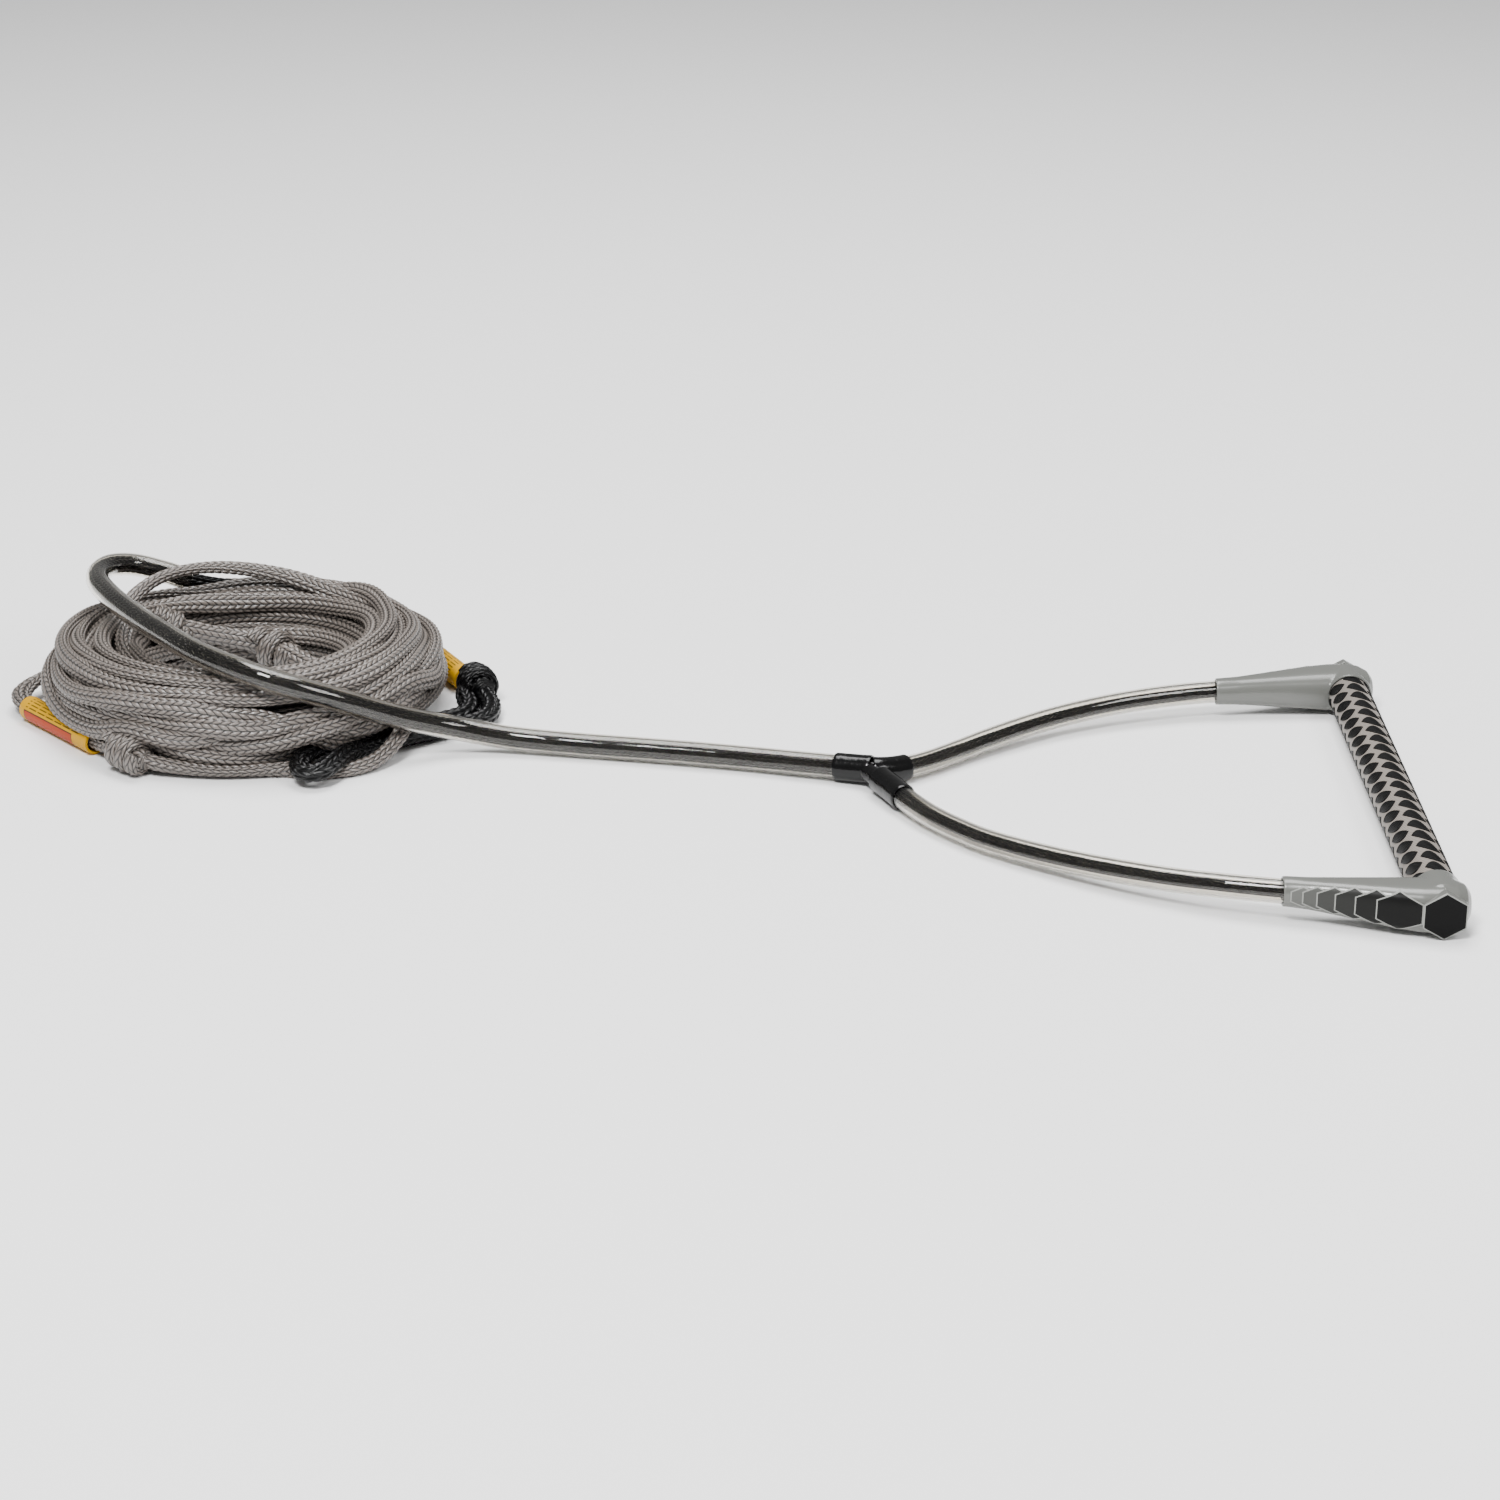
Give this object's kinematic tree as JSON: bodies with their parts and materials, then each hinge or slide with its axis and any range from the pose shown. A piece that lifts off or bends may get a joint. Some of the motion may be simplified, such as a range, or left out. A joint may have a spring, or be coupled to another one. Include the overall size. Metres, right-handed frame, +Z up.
{
  "type": "tow rope handle",
  "caption": "Water sports tow rope handle: grip bar in moulded end caps, hose-covered rope bridle meeting in a Y, and a coiled braided main line with a boat loop.",
  "frame": {"origin": "on the ground under the middle of the handle: its bar, caps, legs and sleeves", "axes": "+X along the pull from the line towards the bar, +Y along the bar, +Z up from the ground"},
  "size_m": [0.8887, 0.4955, 0.0806],
  "materials": {
    "aluminium": "satin",
    "foam": "matte closed-cell foam",
    "grip": "two-tone moulded rubber, grey net with black pads",
    "urethane": "gloss moulded urethane",
    "hose": "clear PVC",
    "black_rope": "black braided rope",
    "shrink": "gloss shrink tube",
    "line": "grey hollow braid",
    "label": "yellow vinyl sleeve with a printed panel"
  },
  "bodies": {
    "line": {"main_sleeve": "shrink", "main_tube": "hose", "main_rope": "black_rope", "front_knot": "line", "coupling_knot": "line", "inner_knot": "line", "boat_loop_knot": "black_rope", "front_line": "line", "front_loop": "line", "cross_line": "line", "rear_line": "line", "coupling_line": "line", "boat_loop": "black_rope", "mainline_coil": "line"},
    "handle": {"handle_core_tube": "aluminium", "core_float": "foam", "grip": "grip", "end_cap_near": "urethane", "end_cap_far": "urethane", "bridle_rope": "black_rope", "leg_tube_near": "hose", "leg_tube_far": "hose", "leg_sleeve_near": "shrink", "leg_sleeve_far": "shrink"},
    "front_sleeve": {"warning_sleeve_front": "label"},
    "rear_sleeve": {"warning_sleeve_rear": "label"}
  },
  "joints": [
    {"name": "bridle_fold", "type": "hinge", "parent": "line", "child": "handle", "pos_m": [-0.15075, 0.037, 0.0195], "axis": [0, -1, 0], "range_deg": [0, 120]},
    {"name": "front_sleeve_slide", "type": "slide", "parent": "line", "child": "front_sleeve", "axis": [0.6644, -0.7474, 0], "range_m": [0, 0.004]},
    {"name": "rear_sleeve_slide", "type": "slide", "parent": "line", "child": "rear_sleeve", "axis": [0.4693, -0.883, 0], "range_m": [0, 0.004]}
  ]
}
